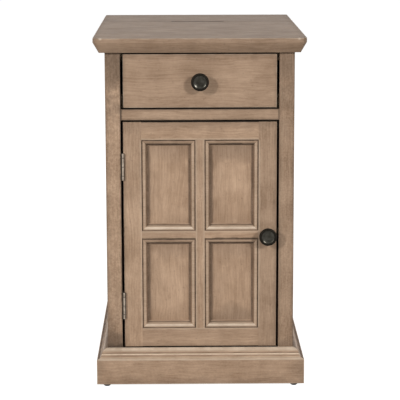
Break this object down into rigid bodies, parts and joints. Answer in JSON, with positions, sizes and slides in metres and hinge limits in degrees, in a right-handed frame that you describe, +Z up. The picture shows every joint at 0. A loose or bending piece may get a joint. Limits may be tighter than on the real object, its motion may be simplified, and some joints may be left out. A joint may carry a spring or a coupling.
{
  "type": "chairside table cabinet",
  "caption": "Narrow deep side table cabinet in washed wood: drawer over a window-pane door with shelf inside, hinged rear lid on the top, moulded base.",
  "frame": {"origin": "centre of the bounding box's footprint, on the plane of the glides that stand on the ground", "axes": "+Z up along the longest extent; +X to the right seen from the front, the shortest extent; +Y from the front with its door and drawer to the back"},
  "size_m": [0.3972, 0.6234, 0.6647],
  "materials": {
    "washed_wood": "taupe washed stain with dark glaze in the grooves, satin",
    "inner_wood": "clear sealed, matt",
    "sheet_wood": "thin sheet, matt",
    "bronze": "dark oil-rubbed bronze, satin",
    "nickel": "satin nickel plate",
    "steel": "zinc plate",
    "plastic": "dark, matt"
  },
  "bodies": {
    "cabinet": {"top_panel": "washed_wood", "left_side_panel": "washed_wood", "right_side_panel": "washed_wood", "left_face_stile": "washed_wood", "right_face_stile": "washed_wood", "divider_rail": "washed_wood", "bottom_rail": "washed_wood", "cupboard_floor": "inner_wood", "drawer_floor": "inner_wood", "well_partition": "inner_wood", "rear_top_rail": "washed_wood", "back_panel": "sheet_wood", "base_front_board": "washed_wood", "base_right_board": "washed_wood", "base_left_board": "washed_wood", "base_back_rail": "inner_wood", "base_cap_front": "washed_wood", "base_cap_right": "washed_wood", "base_cap_left": "washed_wood", "base_corner_blocks": "inner_wood", "foot_glides": "plastic", "shelf": "inner_wood", "shelf_pins": "steel", "drawer_guides": "inner_wood", "top_cleats": "inner_wood", "top_screws": "steel", "door_hinge_frame_leaves": "nickel", "door_hinge_pins": "nickel", "cabinet_hinge_screws": "steel", "magnetic_catch": "plastic", "lid_hinge_rail_leaves": "nickel", "lid_hinge_pins": "nickel"},
    "door": {"door_hinge_stile": "washed_wood", "door_lock_stile": "washed_wood", "door_top_rail": "washed_wood", "door_bottom_rail": "washed_wood", "door_upright_bar": "washed_wood", "door_cross_bar": "washed_wood", "door_panel": "washed_wood", "upper_left_moulding": "washed_wood", "upper_right_moulding": "washed_wood", "lower_left_moulding": "washed_wood", "lower_right_moulding": "washed_wood", "door_knob": "bronze", "door_knob_screw": "steel", "door_hinge_door_leaves": "nickel", "door_hinge_screws": "steel", "catch_strike": "steel"},
    "drawer": {"drawer_front": "washed_wood", "drawer_right_side": "inner_wood", "drawer_left_side": "inner_wood", "drawer_back": "inner_wood", "drawer_bottom": "sheet_wood", "drawer_knob": "bronze", "drawer_knob_screw": "steel"},
    "lid": {"lid_panel": "washed_wood", "lid_hinge_lid_leaves": "nickel", "lid_hinge_screws": "steel"}
  },
  "joints": [
    {"name": "door_hinge", "type": "hinge", "parent": "cabinet", "child": "door", "pos_m": [-0.1446, -0.28802, 0.29115], "axis": [0, 0, -1], "range_deg": [0, 175]},
    {"name": "drawer_slide", "type": "slide", "parent": "cabinet", "child": "drawer", "axis": [0, -1, 0], "range_m": [0, 0.275]},
    {"name": "lid_hinge", "type": "hinge", "parent": "cabinet", "child": "lid", "pos_m": [0, 0.30867, 0.6372], "axis": [-1, 0, 0], "range_deg": [0, 95]}
  ]
}
